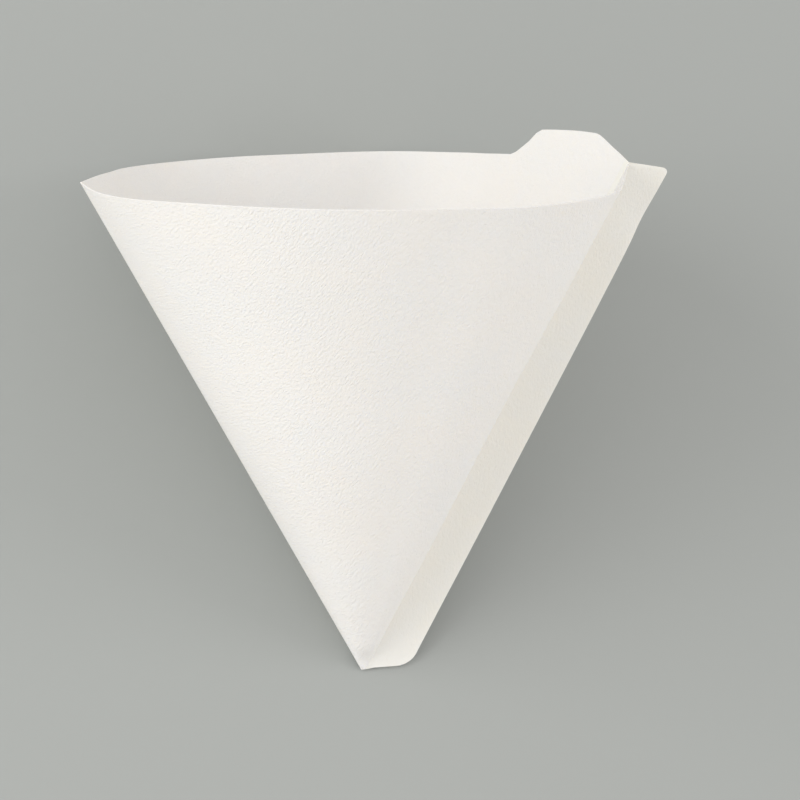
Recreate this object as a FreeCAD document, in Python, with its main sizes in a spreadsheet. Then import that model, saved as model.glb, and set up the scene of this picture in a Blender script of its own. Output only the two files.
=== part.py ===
import FreeCAD, Part
import math
import os
import Sketcher

# Paper cone filter for pour-over coffee, opened out and lying on its side.
# The cone is drawn upright: its tip at the origin, its mouth up, the folded crease on -X, the
# crimped seam on +X, the front wall on -Y and the back wall on +Y. It is then laid on the back wall.

SIZES = (
    ("mouth_width", 117.5, "fold crease to seam crease, across the mouth"),
    ("cone_height", 103.0, "tip to rim, along the axis of the cone"),
    ("paper_thickness", 0.25, "creped paper, one layer"),
    ("tip_height", 1.0, "geometric tip to the sealed tip's lower end"),
    ("tip_seal_height", 1.3, "sealed tip, along the axis"),
    ("tip_fill", 0.88, "sealed tip's radius over half the width between the creases"),
    ("wall_start", 2.0, "where the walls begin, along them from the geometric tip"),
    ("front_depth", 60.7, "axis to the crown of the front wall, at the rim"),
    ("front_crown_place", 0.3, "middle of the front crown, towards the seam"),
    ("front_crown_width", 11.5, "flat run of the front crown, at the rim"),
    ("front_fold_flank", 1.5, "straight run beside the fold crease, at the rim"),
    ("front_seam_flank", 41.0, "straight run beside the seam crease, at the rim"),
    ("back_depth", 60.5, "axis to the crown of the back wall, at the rim"),
    ("back_crown_place", 9.0, "middle of the back crown, towards the seam"),
    ("back_crown_width", 25.5, "flat that the filter lies on, at the rim"),
    ("back_fold_flank", 40.5, "straight run beside the fold crease, at the rim"),
    ("back_seam_flank", 47.4, "straight run beside the seam crease, at the rim"),
    ("fin_width", 8.3, "crimped seam strip, across"),
    ("fin_top_rise", 3.9, "outer top corner of the strip past the crease's length"),
    ("fin_top_radius", 0.9, "rounding of that corner"),
    ("fin_end_radius", 2.5, "rounding of the strip's corner beside the tip"),
    ("tab_seam_height", 1.0, "tab above the rim, at the seam"),
    ("tab_near_height", 6.1, "tab above the rim, at its corner nearer the seam"),
    ("tab_far_height", 5.75, "tab above the rim, at its other corner"),
    ("tab_near_place", 13.1, "seam to the near corner, seen from the seam's side"),
    ("tab_far_place", 31.4, "seam to the far corner, seen from the seam's side"),
    ("tab_foot_place", 35.0, "seam to the foot of the far slope"),
    ("tab_near_radius", 1.5, "rounding of the near corner"),
    ("tab_far_radius", 1.5, "rounding of the far corner"),
    ("tab_foot_radius", 4.0, "rounding where the slope runs into the rim"),
)

doc = FreeCAD.newDocument("paper_coffee_filter")

sheet = doc.addObject("Spreadsheet::Sheet", "Sizes")
for row, (alias, value, note) in enumerate(SIZES, start=1):
    sheet.set(f"A{row}", alias)
    sheet.set(f"B{row}", str(value))
    sheet.set(f"C{row}", note)
    sheet.setAlias(f"B{row}", alias)
doc.recompute()

# Lengths that several features share, worked out from the sheet.
HALF_MOUTH = "Sizes.mouth_width / 2"
CREASE_LENGTH = f"sqrt(({HALF_MOUTH})^2 + Sizes.cone_height^2)"
CREASE_SINE = f"{HALF_MOUTH} / {CREASE_LENGTH}"
CREASE_COSINE = f"Sizes.cone_height / {CREASE_LENGTH}"
CREASE_SLOPE = f"{HALF_MOUTH} / Sizes.cone_height"
UNCUT_FACTOR = 2
UNCUT_LENGTH = f"{UNCUT_FACTOR} * Sizes.cone_height"
TRIM_REACH = "Sizes.front_depth + Sizes.back_depth"


def origin_plane(body, role):
    for feature in body.Origin.OriginFeatures:
        if feature.Role == role:
            return feature
    raise ValueError(f"no plane {role}")


def new_sketch(body, name, role):
    sketch = body.newObject("Sketcher::SketchObject", name)
    sketch.AttachmentSupport = (origin_plane(body, role), [""])
    sketch.MapMode = "FlatFace"
    return sketch


def measured(sketch, expression):
    return float(sketch.evalExpression(expression))


def bind(sketch, constraint, name, expression):
    index = sketch.addConstraint(constraint)
    sketch.renameConstraint(index, name)
    sketch.setExpression(f"Constraints.{name}", expression)


# Places a point of a sketch by two expressions, both measured from the sketch's origin.
def place_point(sketch, geometry, position, name, across, up):
    x = measured(sketch, across)
    y = measured(sketch, up)
    bind(sketch, Sketcher.Constraint("DistanceX", -1, 1, geometry, position, x), f"{name}_across", across)
    bind(sketch, Sketcher.Constraint("DistanceY", -1, 1, geometry, position, y), f"{name}_up", up)


def arc_between(centre, radius, start, end):
    first = math.atan2(start[1] - centre[1], start[0] - centre[0])
    last = math.atan2(end[1] - centre[1], end[0] - centre[0])
    circle = Part.Circle(FreeCAD.Vector(*centre, 0), FreeCAD.Vector(0, 0, 1), radius)
    return Part.ArcOfCircle(circle, first, last)


# A flat patch of a wall lies between two rulings, which are straight lines from the tip.
def flat_patch(first, last, inward, start, length):
    corners = (first * start, first * length, last * length, last * start, first * start)
    return Part.Face(Part.makePolygon(corners)).extrude(inward)


# A rolled patch of a wall is one ruling, with the paper's thickness, turned about the axis of a cone
# whose point is the tip.
def rolled_patch(ruling, inward, axis, turn, start, length):
    low = ruling * start
    high = ruling * length
    profile = Part.Face(Part.makePolygon((low, high, high + inward, low + inward, low)))
    return profile.revolve(FreeCAD.Vector(), axis, math.degrees(turn))


# The cone that leaves the crown at its end ruling and meets, without a kink, the flat flank that runs
# to the crease. Returns the cone's axis and how far the ruling turns about it.
def rolled_cone(crown_end, outward, crease, flank_angle):
    slope = (crease * crown_end - math.cos(flank_angle)) / (crease * outward)
    half_angle = math.atan(slope)
    axis = crown_end * math.cos(half_angle) - outward * math.sin(half_angle)
    if crown_end.cross(crease) * axis < 0:
        axis = -axis
    tilt = axis.getAngle(crease)
    crown_arm = crown_end - axis * (crown_end * axis)
    crease_arm = crease - axis * (crease * axis)
    flank_turn = math.acos(abs(slope / math.tan(tilt)))
    return axis, crown_arm.getAngle(crease_arm) - flank_turn


# One wall, from crease to crease: a flat flank beside each crease, the flat crown in the middle and a
# rolled patch between them on either side.
def wall_patches(side, outward_sign):
    height = sheet.get("cone_height")
    half = sheet.get("mouth_width") / 2
    depth = sheet.get(f"{side}_depth")
    crown_half = sheet.get(f"{side}_crown_width") / 2
    crown_place = sheet.get(f"{side}_crown_place")
    thickness = sheet.get("paper_thickness")
    reach = (sheet.get("wall_start"), UNCUT_FACTOR * height)

    outward = FreeCAD.Vector(0, outward_sign * height, -depth).normalize()
    crown_ends = [
        FreeCAD.Vector(crown_place + across, outward_sign * depth, height).normalize()
        for across in (-crown_half, crown_half)
    ]
    patches = [flat_patch(*crown_ends, outward * -thickness, *reach)]
    for crown_end, crease_side, name in zip(crown_ends, (-1, 1), ("fold", "seam")):
        crease = FreeCAD.Vector(crease_side * half, 0, height)
        flank_angle = sheet.get(f"{side}_{name}_flank") / crease.Length
        crease.normalize()
        axis, turn = rolled_cone(crown_end, outward, crease, flank_angle)
        patches.append(rolled_patch(crown_end, outward * -thickness, axis, turn, *reach))
        rolled = FreeCAD.Rotation(axis, math.degrees(turn))
        flank_inward = rolled.multVec(outward) * -thickness
        patches.append(flat_patch(rolled.multVec(crown_end), crease, flank_inward, *reach))
    return patches


# Both walls of the cone in one sheet of paper, still uncut at the rim.
def paper_walls():
    patches = wall_patches("front", -1) + wall_patches("back", 1)
    walls = doc.addObject("Part::Feature", "Walls")
    walls.Shape = patches[0].multiFuse(patches[1:]).removeSplitter().Solids[0]
    return walls


# The walls meet in a point too small to be hollow, so the tip is a short solid cone.
def sealed_tip(body):
    top = "(Sizes.tip_height + Sizes.tip_seal_height)"
    cone = body.newObject("PartDesign::AdditiveCone", "SealedTip")
    cone.AttachmentSupport = (origin_plane(body, "XY_Plane"), [""])
    cone.MapMode = "FlatFace"
    cone.setExpression("AttachmentOffset.Base.z", "Sizes.tip_height")
    cone.setExpression("Radius1", f"Sizes.tip_fill * {CREASE_SLOPE} * Sizes.tip_height")
    cone.setExpression("Radius2", f"Sizes.tip_fill * {CREASE_SLOPE} * {top}")
    cone.setExpression("Height", "Sizes.tip_seal_height")
    return cone


# A closed outline of straight lines. A corner with a radius is rounded, and the point where its two
# lines would have met is kept and placed by its expressions.
def outline(sketch, corners):
    points = [(measured(sketch, across), measured(sketch, up)) for _, across, up, _ in corners]
    count = len(corners)
    entries = []
    exits = []
    for index, (_, _, _, radius) in enumerate(corners):
        here = points[index]
        before = points[index - 1]
        after = points[(index + 1) % count]
        if radius is None:
            entries.append(here)
            exits.append(here)
            continue
        back = FreeCAD.Vector(before[0] - here[0], before[1] - here[1], 0).normalize()
        ahead = FreeCAD.Vector(after[0] - here[0], after[1] - here[1], 0).normalize()
        cut = measured(sketch, radius) / math.tan(back.getAngle(ahead) / 2)
        entries.append((here[0] + back.x * cut, here[1] + back.y * cut))
        exits.append((here[0] + ahead.x * cut, here[1] + ahead.y * cut))

    lines = []
    for index in range(count):
        start = FreeCAD.Vector(*exits[index], 0)
        end = FreeCAD.Vector(*entries[(index + 1) % count], 0)
        lines.append(sketch.addGeometry(Part.LineSegment(start, end)))

    for index, (name, across, up, radius) in enumerate(corners):
        arriving = lines[index - 1]
        leaving = lines[index]
        if radius is None:
            sketch.addConstraint(Sketcher.Constraint("Coincident", arriving, 2, leaving, 1))
            place_point(sketch, leaving, 1, name, across, up)
            continue
        size = measured(sketch, radius)
        entry = FreeCAD.Vector(*entries[index], 0)
        leave = FreeCAD.Vector(*exits[index], 0)
        corner = FreeCAD.Vector(*points[index], 0)
        turn = (corner - entry).cross(leave - corner).z
        middle = (entry + leave) / 2 - corner
        centre = corner + middle * ((corner - entry).Length ** 2 + size * size) ** 0.5 / middle.Length
        ends = (entry, leave) if turn > 0 else (leave, entry)
        start, end = (1, 2) if turn > 0 else (2, 1)
        arc = sketch.addGeometry(arc_between((centre.x, centre.y), size, *[(v.x, v.y) for v in ends]))
        mark = sketch.addGeometry(Part.Point(corner), True)
        sketch.addConstraint(Sketcher.Constraint("Tangent", arriving, 2, arc, start))
        sketch.addConstraint(Sketcher.Constraint("Tangent", arc, end, leaving, 1))
        sketch.addConstraint(Sketcher.Constraint("PointOnObject", mark, 1, arriving))
        sketch.addConstraint(Sketcher.Constraint("PointOnObject", mark, 1, leaving))
        bind(sketch, Sketcher.Constraint("Radius", arc, size), f"{name}_radius", radius)
        place_point(sketch, mark, 1, name, across, up)


# The crimped seam: both layers of the strip that closes the cone, standing out beside the crease.
def seam_fin(body):
    sketch = new_sketch(body, "SeamStrip", "XZ_Plane")
    inset = "Sizes.paper_thickness / 2"
    seam_level = "(Sizes.cone_height + Sizes.tab_seam_height)"
    outer_length = f"({CREASE_LENGTH} + Sizes.fin_top_rise)"
    outer_across = f"{outer_length} * {CREASE_SINE} + Sizes.fin_width * {CREASE_COSINE}"
    outer_up = f"{outer_length} * {CREASE_COSINE} - Sizes.fin_width * {CREASE_SINE}"
    root_across = f"Sizes.tip_height * {CREASE_SLOPE}"
    end_across = f"{root_across} + Sizes.fin_width / ({CREASE_COSINE})"
    outline(
        sketch,
        (
            ("root", f"{root_across} - {inset}", "Sizes.tip_height", None),
            ("end", end_across, "Sizes.tip_height", "Sizes.fin_end_radius"),
            ("outer", outer_across, outer_up, "Sizes.fin_top_radius"),
            ("seam", f"{seam_level} * {CREASE_SLOPE} - {inset}", seam_level, None),
        ),
    )
    pad = body.newObject("PartDesign::Pad", "SeamFin")
    pad.Profile = sketch
    pad.Midplane = True
    pad.setExpression("Length", "2 * Sizes.paper_thickness")
    return pad


def trim(body, name, corners, towards_seam):
    sketch = new_sketch(body, f"{name}Outline", "YZ_Plane")
    outline(sketch, corners)
    pocket = body.newObject("PartDesign::Pocket", name)
    pocket.Profile = sketch
    pocket.Type = "ThroughAll"
    pocket.Reversed = towards_seam
    return pocket


# The rim is one level cut. On the seam's side it leaves the tab standing on the back wall.
def rim_trims(body):
    rim = "Sizes.cone_height"
    front = f"-1 * ({TRIM_REACH})"
    trim(
        body,
        "FoldSideRim",
        (
            ("front", front, rim, None),
            ("back", TRIM_REACH, rim, None),
            ("back_top", TRIM_REACH, UNCUT_LENGTH, None),
            ("front_top", front, UNCUT_LENGTH, None),
        ),
        False,
    )
    trim(
        body,
        "SeamSideRim",
        (
            ("front", front, rim, None),
            ("seam", "0", rim, None),
            ("tab_seam", "0", f"{rim} + Sizes.tab_seam_height", None),
            ("tab_near", "Sizes.tab_near_place", f"{rim} + Sizes.tab_near_height", "Sizes.tab_near_radius"),
            ("tab_far", "Sizes.tab_far_place", f"{rim} + Sizes.tab_far_height", "Sizes.tab_far_radius"),
            ("tab_foot", "Sizes.tab_foot_place", rim, "Sizes.tab_foot_radius"),
            ("back", TRIM_REACH, rim, None),
            ("back_top", TRIM_REACH, UNCUT_LENGTH, None),
            ("front_top", front, UNCUT_LENGTH, None),
        ),
        True,
    )


# Turns the upright cone so that the flat of its back wall faces down, and centres it over the origin.
def lay_down(body):
    body.Placement = FreeCAD.Placement(FreeCAD.Vector(), FreeCAD.Rotation(FreeCAD.Vector(-1, 0, 0), 60))
    body.setExpression("Placement.Rotation.Angle", "atan(Sizes.cone_height / Sizes.back_depth)")
    doc.recompute()
    box = body.Shape.optimalBoundingBox(False)
    body.Placement.Base = FreeCAD.Vector(-box.Center.x, -box.Center.y, -box.ZMin)
    doc.recompute()


def paper_filter():
    body = doc.addObject("PartDesign::Body", "paper_filter")
    body.Label = "paper_filter"
    body.BaseFeature = paper_walls()
    sealed_tip(body)
    rim_trims(body)
    seam_fin(body)
    doc.recompute()
    lay_down(body)
    return body


pieces = [paper_filter()]

for thing in doc.Objects:
    if "Invalid" in thing.State or "Error" in thing.State:
        raise RuntimeError(f"{thing.Label} did not compute: {thing.State}")

os.makedirs("parts", exist_ok=True)
for piece in pieces:
    shape = piece.Shape
    if shape.isNull() or not shape.isValid() or len(shape.Solids) != 1:
        raise RuntimeError(f"{piece.Label} is not one sound solid")
    shape.exportStep(f"parts/{piece.Label}.step")
    box = shape.optimalBoundingBox(False)
    print(piece.Label, "volume", round(shape.Volume, 1), "mm3, faces", len(shape.Faces))
    print("box", [round(value, 2) for value in (box.XMin, box.XMax, box.YMin, box.YMax, box.ZMin, box.ZMax)])
    print("centre of mass", [round(value, 2) for value in shape.Solids[0].CenterOfMass])
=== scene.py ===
from math import acos, atan, cos, exp, hypot, pi, radians, sin, sqrt, tan

import bmesh
import bpy
from mathutils import Matrix, Quaternion, Vector, noise


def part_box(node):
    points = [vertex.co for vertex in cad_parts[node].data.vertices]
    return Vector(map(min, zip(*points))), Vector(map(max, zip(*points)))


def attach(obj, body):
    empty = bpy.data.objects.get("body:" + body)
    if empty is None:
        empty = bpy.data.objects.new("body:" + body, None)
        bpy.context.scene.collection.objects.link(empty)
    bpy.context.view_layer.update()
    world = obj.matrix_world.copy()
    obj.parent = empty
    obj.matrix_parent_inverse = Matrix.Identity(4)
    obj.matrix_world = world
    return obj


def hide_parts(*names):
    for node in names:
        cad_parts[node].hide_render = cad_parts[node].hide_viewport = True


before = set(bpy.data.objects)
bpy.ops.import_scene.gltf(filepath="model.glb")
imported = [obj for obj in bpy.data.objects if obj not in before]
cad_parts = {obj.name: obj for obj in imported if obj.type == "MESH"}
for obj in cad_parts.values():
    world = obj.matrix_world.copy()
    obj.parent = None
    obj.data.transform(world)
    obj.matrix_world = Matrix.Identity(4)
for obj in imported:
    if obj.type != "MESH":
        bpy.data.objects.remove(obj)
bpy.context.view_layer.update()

nodeLow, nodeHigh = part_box("paper_filter")
millimetre = 0.001

# The cone as it would stand upright on its tip, in metres: the fold crease on -X, the seam on +X,
# the front wall on -Y. It is laid on the crown of its back wall at the end.
cone = {
    "halfMouth": 0.05875,       # axis to either crease, at the rim
    "height": 0.103,            # tip to rim, along the axis
    "paper": 0.00025,           # one layer
    "clearance": 0.00001,       # between the sheet and the floor
    "startDistance": 0.0009,    # the sheet begins this far from the geometric tip
    "pinchDistance": 0.007,     # nearer to the tip than this, the walls close up
    "creaseReach": 0.0012,      # the walls part within about this distance of the seam
    "rimColumns": 168,          # columns of the mesh across each wall
    "finColumns": 9,            # and across the seam strip
    "rows": 108,
    "creaseCrowding": 0.9,      # how strongly the columns crowd towards the creases
    "rowCrowding": 1.1,         # above 1, the rows crowd towards the tip
    "normalSteps": 2000,        # a wall's normal is taken over two of this many steps across it
    "sharpEdge": 40.0,          # edges with a larger turn than this many degrees stay sharp
}

creaseLength = hypot(cone["halfMouth"], cone["height"])   # tip to rim, along a crease

# Each wall: the side of the creases that it is on, how far its flat crown stands from them at the rim,
# where the crown's middle is and how wide it is, and the width of the flat flank beside each crease.
walls = {
    "front": {"outward": -1, "depth": 0.0607, "crownPlace": 0.0003, "crownWidth": 0.0115,
              "foldFlank": 0.0015, "seamFlank": 0.0410},
    "back": {"outward": 1, "depth": 0.0605, "crownPlace": 0.0090, "crownWidth": 0.0255,
             "foldFlank": 0.0405, "seamFlank": 0.0474},
}

# How far the cut edge stands above the level rim, in millimetres, by share of the way from the fold
# to the seam.
rimLift = {
    "front": ((0.0, 0.95), (0.08, 0.0), (0.25, 0.2), (0.48, -0.6), (0.57, -1.1), (0.66, -0.7), (0.85, 0.1),
              (1.0, 0.8)),
    "back": ((0.0, 1.15), (0.1, 0.65), (0.2, -0.1), (0.3, -0.62), (0.38, -0.72), (0.57, -0.4),
             (0.69, -0.57), (0.75, -0.25), (0.8, 0.2), (1.0, 1.0)),
}

# The pull tab: distance from the seam along the rim, and from the tip, in millimetres.
tab = {
    "outline": ((0.0, 119.75), (7.3, 121.98), (12.8, 124.07), (31.4, 124.1), (32.6, 121.75), (37.6, 118.1)),
    "cornerBlend": 0.9,         # the outline is averaged this far to either side, to round its corners
    "blendSamples": 3,
}

fin = {
    "width": 0.0084,
    "endLevel": 0.001,          # the strip ends level with the sealed tip
    "innerTop": 0.1199,         # distance from the tip, along the crease
    "outerTop": 0.1229,
    "topRounding": 0.0014,
    "endRounding": 0.0025,
    "splay": 0.00012,           # how far each layer's outer edge stands off the other
    "sway": 0.00035,            # the strip isn't quite flat along its length
    "swayLength": 0.03,
    "swaySeed": 3.1,
    # how far its outer edge leans to the back, by distance from the tip
    "lean": ((0.0, 0.0), (0.1, 0.0), (0.1055, 0.0002), (0.111, 0.0009), (0.117, 0.0004), (0.1225, 0.0)),
    "leanCurve": 1.5,           # above 1, the lean grows towards the outer edge
}

# Gentle unevenness of the sheet, which fades towards the tip and the creases.
unevenness = {
    "waves": ((0.045, 0.00045), (0.016, 0.00012), (0.006, 0.000035)),   # length and height of each
    "fullFromTip": 0.06,
    "fullFromCrease": 0.008,
    "seedStep": 7.3,
}

# The UV map of the flat sheet: the length that it covers, in metres, and the tip's place in it.
sheetMap = {
    "span": 0.26,
    "tip": (0.5, 0.1),
}

# The finishes in the order of the material slots. The inner faces of the thickened sheet take the
# slot after that of the outer ones.
finishes = ("crepedOutside", "crepedInside", "pressedSeam")


def smooth(share):
    share = min(max(share, 0.0), 1.0)
    return share * share * (3 - 2 * share)


def alongLine(points, place):
    for (first, low), (last, high) in zip(points, points[1:]):
        if place <= last:
            return low + (high - low) * max((place - first) / (last - first), 0.0)
    return points[-1][1]


# A smooth line through the points, whose slope at a point is that from the one before to the next.
def alongCurve(points, place):
    slopes = []
    for index in range(len(points)):
        first, low = points[max(index - 1, 0)]
        last, high = points[min(index + 1, len(points) - 1)]
        slopes.append((high - low) / (last - first))
    for index, ((first, low), (last, high)) in enumerate(zip(points, points[1:])):
        if place <= last:
            share = (place - first) / (last - first)
            bend = slopes[index] * (1 - share) - slopes[index + 1] * share
            return low + (high - low) * smooth(share) + bend * share * (1 - share) * (last - first)
    return points[-1][1]


# The right circular cone that leaves the crown at its end ruling and meets the flat flank beside a
# crease without a kink.
def rolledCone(crownEnd, outward, crease, flankAngle):
    slope = (crease.dot(crownEnd) - cos(flankAngle)) / crease.dot(outward)
    halfAngle = atan(slope)
    axis = crownEnd * cos(halfAngle) - outward * sin(halfAngle)
    if crownEnd.cross(crease).dot(axis) < 0:
        axis = -axis
    tilt = axis.angle(crease)
    crownArm = crownEnd - axis * crownEnd.dot(axis)
    creaseArm = crease - axis * crease.dot(axis)
    turn = crownArm.angle(creaseArm) - acos(abs(slope / tan(tilt)))
    return axis, turn, abs(halfAngle)


def flatRulings(first, last):
    return lambda share: first.slerp(last, share)


def rolledRulings(axis, turn, first):
    return lambda share: Quaternion(axis, turn * share) @ first


# One wall from the fold to the seam, in patches: a flat flank, a rolled part, the flat crown, a rolled
# part and a flat flank. A patch is its angle in the flat sheet and its ruling at any share of it.
def wallPatches(wall):
    depth = wall["outward"] * wall["depth"]
    outward = Vector((0, wall["outward"] * cone["height"], -wall["depth"])).normalized()
    patches = []
    for side, flankName in ((-1, "foldFlank"), (1, "seamFlank")):
        across = wall["crownPlace"] + side * wall["crownWidth"] / 2
        crownEnd = Vector((across, depth, cone["height"])).normalized()
        crease = Vector((side * cone["halfMouth"], 0, cone["height"])).normalized()
        flankAngle = wall[flankName] / creaseLength
        axis, turn, halfAngle = rolledCone(crownEnd, outward, crease, flankAngle)
        touch = Quaternion(axis, turn) @ crownEnd
        rolledAngle = turn * sin(halfAngle)
        if side < 0:
            patches.append((flankAngle, flatRulings(crease, touch)))
            patches.append((rolledAngle, rolledRulings(axis, -turn, touch)))
            foldEnd = crownEnd
        else:
            patches.append((foldEnd.angle(crownEnd), flatRulings(foldEnd, crownEnd)))
            patches.append((rolledAngle, rolledRulings(axis, turn, crownEnd)))
            patches.append((flankAngle, flatRulings(touch, crease)))
    return patches


def rulingAt(patches, angle):
    for span, ruling in patches:
        if angle <= span:
            return ruling(max(angle / span, 0.0))
        angle -= span
    return patches[-1][1](1.0)


# Everything about one column of a wall: its ruling, its outward normal, its rim and its place in the
# flat sheet, whose fold lies along V and whose seam lies along U.
def wallColumn(name, patches, share):
    wall = walls[name]
    total = sum(span for span, ruling in patches)
    angle = share * total
    step = total / cone["normalSteps"]
    ruling = rulingAt(patches, angle)
    before = rulingAt(patches, max(angle - step, 0.0))
    after = rulingAt(patches, min(angle + step, total))
    normal = (after - before).cross(ruling).normalized()
    if normal.dot(Vector((ruling.x, ruling.y, 0))) < 0:
        normal = -normal
    level = cone["height"] + alongCurve(rimLift[name], share) * millimetre
    rim = level / ruling.z
    fromSeam = (total - angle) * creaseLength
    if name == "back":
        rim = max(rim, tabTop(fromSeam))
    flatAngle = angle if name == "front" else -angle
    return {
        "ruling": ruling, "normal": normal, "rim": rim, "start": cone["startDistance"],
        "flatAngle": flatAngle, "fromSeam": fromSeam, "fromFold": angle * creaseLength,
        "outward": wall["outward"], "wall": name,
    }


# The tab's outline, with its corners rounded, or nothing beyond the tab.
def tabTop(fromSeam):
    place = fromSeam / millimetre
    reach = tab["cornerBlend"]
    count = tab["blendSamples"]
    samples = [place + reach * (step / count) for step in range(-count, count + 1)]
    heights = [alongLine(tab["outline"], max(one, 0.0)) for one in samples]
    if place > tab["outline"][-1][0] + reach:
        return 0.0
    return sum(heights) / len(heights) * millimetre


# A column of the seam strip, which runs beside the crease and not from the tip.
def finColumn(outward, share):
    crease = Vector((cone["halfMouth"], 0, cone["height"])) / creaseLength
    offset = fin["width"] * sin(share * pi / 2)
    top = fin["innerTop"] + (fin["outerTop"] - fin["innerTop"]) * offset / fin["width"]
    end = (fin["endLevel"] + offset * crease.x) / crease.z
    top -= cornerDrop(offset, fin["topRounding"])
    end += cornerDrop(offset, fin["endRounding"])
    return {
        "ruling": crease, "rim": top, "start": end, "flatAngle": -outward * pi / 2, "offset": offset,
        "outward": outward, "wall": "fin",
    }


def cornerDrop(offset, rounding):
    into = offset - (fin["width"] - rounding)
    return rounding - sqrt(max(rounding ** 2 - into ** 2, 0.0)) if into > 0 else 0.0


def flatPlace(column, distance):
    if column["wall"] == "fin":
        side = 1 if column["flatAngle"] > 0 else -1
        return Vector((side * distance, -column["offset"], 0))
    return Vector((distance * sin(column["flatAngle"]), distance * cos(column["flatAngle"]), 0))


# How far the sheet stands off its ideal cone at a point, outwards.
def swell(column, distance, place):
    height = 0.0
    for index, (wavelength, amount) in enumerate(unevenness["waves"]):
        seed = Vector((0, 0, unevenness["seedStep"] * index))
        height += amount * noise.noise(place / wavelength + seed)
    fromCrease = min(column["fromSeam"], column["fromFold"])
    height *= smooth(distance / unevenness["fullFromTip"]) * smooth(fromCrease / unevenness["fullFromCrease"])
    if column["wall"] == "back":
        height = -abs(height)   # it lies on the floor, so it only bends inwards
    return height


def sheetPoint(column, distance):
    place = flatPlace(column, distance)
    point = column["ruling"] * distance
    if column["wall"] == "fin":
        crease = column["ruling"]
        point += Vector((crease.z, 0, -crease.x)) * column["offset"]
        share = column["offset"] / fin["width"]
        along = Vector((distance / fin["swayLength"], 0, fin["swaySeed"]))
        sway = fin["sway"] * share * noise.noise(along)
        sway += alongCurve(fin["lean"], distance) * share ** fin["leanCurve"]
        point.y += column["outward"] * (cone["paper"] + fin["splay"] * share ** 2) + sway
    else:
        fromCrease = column["fromSeam"] * distance / creaseLength
        layer = cone["paper"] * exp(-fromCrease / cone["creaseReach"])
        point += column["normal"] * swell(column, distance, place)
        point.y += column["outward"] * layer
        pinch = smooth(distance / cone["pinchDistance"])
        closedPlace = cone["paper"] * column["outward"]
        point.y = point.y * pinch + closedPlace * (1 - pinch)
    return point, place


# One sheet, in order: the strip's front layer, the seam crease, the front wall, the fold, the back
# wall, the seam crease again and the strip's back layer.
def sheetColumns():
    columns = [finColumn(-1, 1 - index / cone["finColumns"]) for index in range(cone["finColumns"])]
    for name in ("front", "back"):
        patches = wallPatches(walls[name])
        count = cone["rimColumns"]
        for index in range(count + (name == "back")):
            share = index / count
            share -= cone["creaseCrowding"] * sin(2 * pi * share) / (2 * pi)
            columns.append(wallColumn(name, patches, 1 - share if name == "front" else share))
    columns += [finColumn(1, (index + 1) / cone["finColumns"]) for index in range(cone["finColumns"])]
    return columns


# Turns the upright cone so that the crown of its back wall lies on the floor, where the CAD node lies.
def layingDown():
    tilt = atan(cone["height"] / walls["back"]["depth"])
    slant = hypot(cone["height"], walls["back"]["depth"])
    tip = Vector((nodeLow.x + cone["halfMouth"], nodeHigh.y - slant, nodeLow.z + cone["clearance"]))
    return Matrix.Translation(tip) @ Matrix.Rotation(-tilt, 4, "X")


def newPiece(name, bm):
    mesh = bpy.data.meshes.new(name)
    bm.to_mesh(mesh)
    bm.free()
    piece = bpy.data.objects.new(name, mesh)
    bpy.context.scene.collection.objects.link(piece)
    return piece


def applyModifiers(piece):
    depsgraph = bpy.context.evaluated_depsgraph_get()
    finished = bpy.data.meshes.new_from_object(piece.evaluated_get(depsgraph))
    piece.modifiers.clear()
    piece.data = finished


def makeSheet():
    columns = sheetColumns()
    last = len(columns) - 1
    bm = bmesh.new()
    bmesh.ops.create_grid(bm, x_segments=last, y_segments=cone["rows"], size=0.5)
    uvLayer = bm.loops.layers.uv.new("flatSheet")
    tipAcross, tipUp = sheetMap["tip"]
    flat = {}
    for vert in bm.verts:
        column = columns[round((vert.co.x + 0.5) * last)]
        share = (vert.co.y + 0.5) ** cone["rowCrowding"]
        distance = column["start"] + (column["rim"] - column["start"]) * share
        vert.co, flat[vert] = sheetPoint(column, distance)
    for face in bm.faces:
        for loop in face.loops:
            place = flat[loop.vert] / sheetMap["span"]
            loop[uvLayer].uv = (place.x + tipAcross, place.y + tipUp)
        onStrip = min(flat[vert].y for vert in face.verts) < 0
        face.material_index = finishes.index("pressedSeam" if onStrip else "crepedOutside")
    bm.normal_update()
    outwards = sum(face.normal.dot(Vector((*face.calc_center_median().xy, 0))) for face in bm.faces)
    if outwards < 0:
        bmesh.ops.reverse_faces(bm, faces=bm.faces)
    bmesh.ops.transform(bm, matrix=layingDown(), verts=bm.verts)
    print("sheet", len(bm.verts), "points")
    return newPiece("filterPaper", bm)


creped = {
    "roughness": 0.85,
    "specular": 0.25,
    "scatter": 0.3,
    "scatterReach": 0.0008,
    "scatterTones": (1.0, 0.9, 0.75),
    "grainTurn": 20.0,          # degrees from the seam to the way that the ripples run
    "rippleSpacing": 0.00045,
    "rippleLength": 0.00095,
    "crushSize": 0.0007,        # small dents between the ripples
    "fibreSize": 0.00035,
    "fibreHeight": 0.00002,
    "cloudSize": 0.018,         # the patches of cooler and warmer tone
    "cloudRange": (0.35, 0.65),
    "detail": {"ripples": 1.0, "crush": 2.0, "fibres": 2.0, "cloud": 4.0},   # layers of each noise
    "noiseRoughness": 0.6,
    "noiseDistortion": 0.2,
    "faces": {                  # the cooler and the warmer tone, height of the ripples and of the dents
        "crepedOutside": ((0.862, 0.842, 0.822, 1), (0.880, 0.845, 0.810, 1), 0.00019, 0.00008),
        "crepedInside": ((0.862, 0.844, 0.824, 1), (0.880, 0.847, 0.814, 1), 0.00005, 0.00010),
        "pressedSeam": ((0.866, 0.846, 0.796, 1), (0.880, 0.848, 0.776, 1), 0.00007, 0.00006),
    },
}


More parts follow.
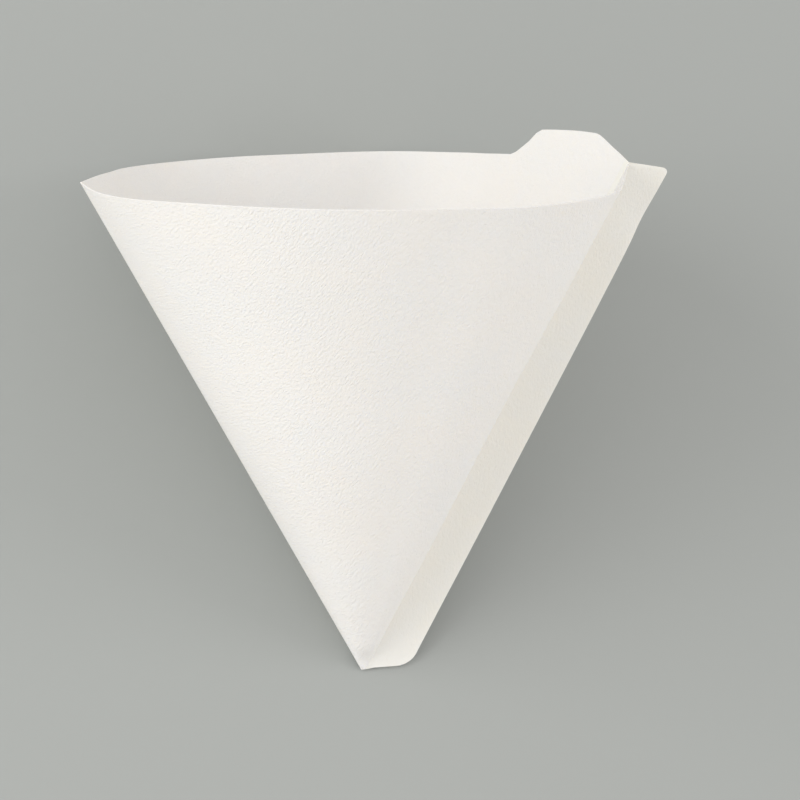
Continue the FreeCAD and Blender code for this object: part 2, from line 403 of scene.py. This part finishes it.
def nodeTools(material):
    material.use_nodes = True
    tree = material.node_tree
    tree.nodes.clear()

    def add(kind, **settings):
        node = tree.nodes.new(kind)
        for name, value in settings.items():
            if name in node.inputs:
                node.inputs[name].default_value = value
            else:
                setattr(node, name, value)
        return node

    return add, tree.links.new


# Creped paper: ripples that run one way in the flat sheet, dents between them, fibres, and a faint
# cloud of warmer and cooler tone.
def makePaper(name, cool, warm, rippleHeight, crushHeight):
    material = bpy.data.materials.new(name)
    add, link = nodeTools(material)
    output = add("ShaderNodeOutputMaterial")
    shader = add("ShaderNodeBsdfPrincipled", Roughness=creped["roughness"])
    shader.inputs["Specular IOR Level"].default_value = creped["specular"]
    shader.inputs["Subsurface Weight"].default_value = creped["scatter"]
    shader.inputs["Subsurface Radius"].default_value = creped["scatterTones"]
    shader.inputs["Subsurface Scale"].default_value = creped["scatterReach"]
    link(shader.outputs[0], output.inputs["Surface"])

    flat = add("ShaderNodeUVMap", uv_map="flatSheet")
    turned = add("ShaderNodeMapping")
    turned.inputs["Rotation"].default_value = (0, 0, -radians(creped["grainTurn"]))
    stretched = add("ShaderNodeMapping")
    along = sheetMap["span"] / creped["rippleLength"]
    across = sheetMap["span"] / creped["rippleSpacing"]
    stretched.inputs["Scale"].default_value = (along, across, 1)
    link(flat.outputs[0], turned.inputs["Vector"])
    link(turned.outputs[0], stretched.inputs["Vector"])

    def pattern(source, scale, depth):
        node = add("ShaderNodeTexNoise", Scale=scale, Detail=depth)
        node.inputs["Roughness"].default_value = creped["noiseRoughness"]
        node.inputs["Distortion"].default_value = creped["noiseDistortion"]
        link(source.outputs[0], node.inputs["Vector"])
        return node.outputs["Fac"]

    detail = creped["detail"]
    ripples = pattern(stretched, 1.0, detail["ripples"])
    crush = pattern(flat, sheetMap["span"] / creped["crushSize"], detail["crush"])
    fibres = pattern(flat, sheetMap["span"] / creped["fibreSize"], detail["fibres"])
    cloud = pattern(flat, sheetMap["span"] / creped["cloudSize"], detail["cloud"])

    tint = add("ShaderNodeMix", data_type="RGBA")
    tint.inputs["A"].default_value = cool
    tint.inputs["B"].default_value = warm
    spread = add("ShaderNodeMapRange")
    spread.inputs["From Min"].default_value = creped["cloudRange"][0]
    spread.inputs["From Max"].default_value = creped["cloudRange"][1]
    link(cloud, spread.inputs["Value"])
    link(spread.outputs[0], tint.inputs["Factor"])
    link(tint.outputs["Result"], shader.inputs["Base Color"])

    normal = None
    for height, amount in ((fibres, creped["fibreHeight"]), (crush, crushHeight), (ripples, rippleHeight)):
        bump = add("ShaderNodeBump", Strength=1.0, Distance=amount)
        link(height, bump.inputs["Height"])
        if normal:
            link(normal, bump.inputs["Normal"])
        normal = bump.outputs[0]
    link(normal, shader.inputs["Normal"])
    return material


def finishSheet(piece):
    for name in finishes:
        piece.data.materials.append(makePaper(name, *creped["faces"][name]))
    thicken = piece.modifiers.new("layer", "SOLIDIFY")
    thicken.thickness = cone["paper"]
    thicken.offset = -1
    thicken.use_even_offset = False
    thicken.material_offset = 1
    applyModifiers(piece)
    bm = bmesh.new()
    bm.from_mesh(piece.data)
    for face in bm.faces:
        face.smooth = True
    for edge in bm.edges:
        if len(edge.link_faces) == 2 and edge.calc_face_angle() > radians(cone["sharpEdge"]):
            edge.smooth = False
    bm.to_mesh(piece.data)
    print("finished sheet", len(bm.faces), "faces, closed", all(edge.is_manifold for edge in bm.edges))
    bm.free()


filterPaper = makeSheet()
finishSheet(filterPaper)
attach(filterPaper, "root")
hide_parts("paper_filter")
print("paper made")

stage = {
    "size": 8.0,
    "gap": 0.00002,             # below the filter
    "colour": (0.37, 0.385, 0.375, 1),
    "roughness": 0.9,
}


def makeFloor():
    bm = bmesh.new()
    bmesh.ops.create_grid(bm, x_segments=1, y_segments=1, size=stage["size"] / 2)
    bmesh.ops.translate(bm, vec=(0, 0, nodeLow.z - stage["gap"]), verts=bm.verts)
    floor = newPiece("floor", bm)
    material = bpy.data.materials.new("plainFloor")
    add, link = nodeTools(material)
    output = add("ShaderNodeOutputMaterial")
    shader = add("ShaderNodeBsdfPrincipled", Roughness=stage["roughness"])
    shader.inputs["Base Color"].default_value = stage["colour"]
    link(shader.outputs[0], output.inputs["Surface"])
    floor.data.materials.append(material)


# The lamps, with the way towards each in the upright cone's directions.
light = {
    "key": {"from": (-0.80, -0.40, 0.45), "size": 0.8, "power": 4.2, "colour": (0.98, 1.0, 0.98)},
    "fill": {"from": (-0.90, -0.45, -0.05), "size": 0.8, "power": 3.6, "colour": (1.0, 0.99, 0.98)},
    "side": {"from": (0.90, -0.42, 0.05), "size": 0.8, "power": 3.8, "colour": (1.0, 0.99, 0.97)},
    "distance": 1.2,
    "sky": 0.83,
    "skyColour": (1.0, 0.985, 0.965, 1),
}


def makeLamp(name, lamp):
    towards = layingDown().to_3x3() @ Vector(lamp["from"]).normalized()
    data = bpy.data.lights.new(name, "AREA")
    data.shape = "DISK"
    data.size = lamp["size"]
    data.energy = lamp["power"]
    data.color = lamp["colour"]
    placed = bpy.data.objects.new(name, data)
    bpy.context.scene.collection.objects.link(placed)
    placed.location = towards * light["distance"]
    placed.rotation_euler = towards.to_track_quat("Z", "Y").to_euler()
    placed.visible_camera = False


def makeLights():
    makeLamp("keyLight", light["key"])
    makeLamp("fillLight", light["fill"])
    makeLamp("sideLight", light["side"])
    world = bpy.data.worlds.new("softRoom")
    world.use_nodes = True
    background = world.node_tree.nodes["Background"]
    background.inputs["Color"].default_value = light["skyColour"]
    background.inputs["Strength"].default_value = light["sky"]
    bpy.context.scene.world = world
    bpy.context.scene.view_settings.view_transform = "Standard"


# The view, in the upright cone's directions: where the camera stands, seen from the middle of the
# rim, and the point that it looks at.
view = {
    "azimuth": -19.19,
    "elevation": 5.42,
    "roll": -0.19,
    "distance": 0.925,
    "rimMiddle": (0, 0, 0.1027),
    "aim": (0.00830, 0, 0.05674),
    "focalPixels": 4526.0,
    "framePixels": 800.0,
    "sensor": 36.0,
}


def makeCamera():
    azimuth = radians(view["azimuth"])
    elevation = radians(view["elevation"])
    away = Vector((sin(azimuth) * cos(elevation), -cos(azimuth) * cos(elevation), sin(elevation)))
    stand = Vector(view["rimMiddle"]) + away * view["distance"]
    backward = (stand - Vector(view["aim"])).normalized()
    right = Vector((0, 0, 1)).cross(backward).normalized()
    up = backward.cross(right)
    facing = Matrix((right, up, backward)).transposed().to_4x4()
    roll = Matrix.Rotation(radians(view["roll"]), 4, "Z")
    data = bpy.data.cameras.new("camera")
    data.sensor_width = view["sensor"]
    data.lens = view["focalPixels"] / view["framePixels"] * view["sensor"]
    camera = bpy.data.objects.new("camera", data)
    bpy.context.scene.collection.objects.link(camera)
    camera.matrix_world = layingDown() @ Matrix.Translation(stand) @ facing @ roll
    bpy.context.scene.camera = camera


makeFloor()
makeLights()
makeCamera()
print("stage, light and camera made")
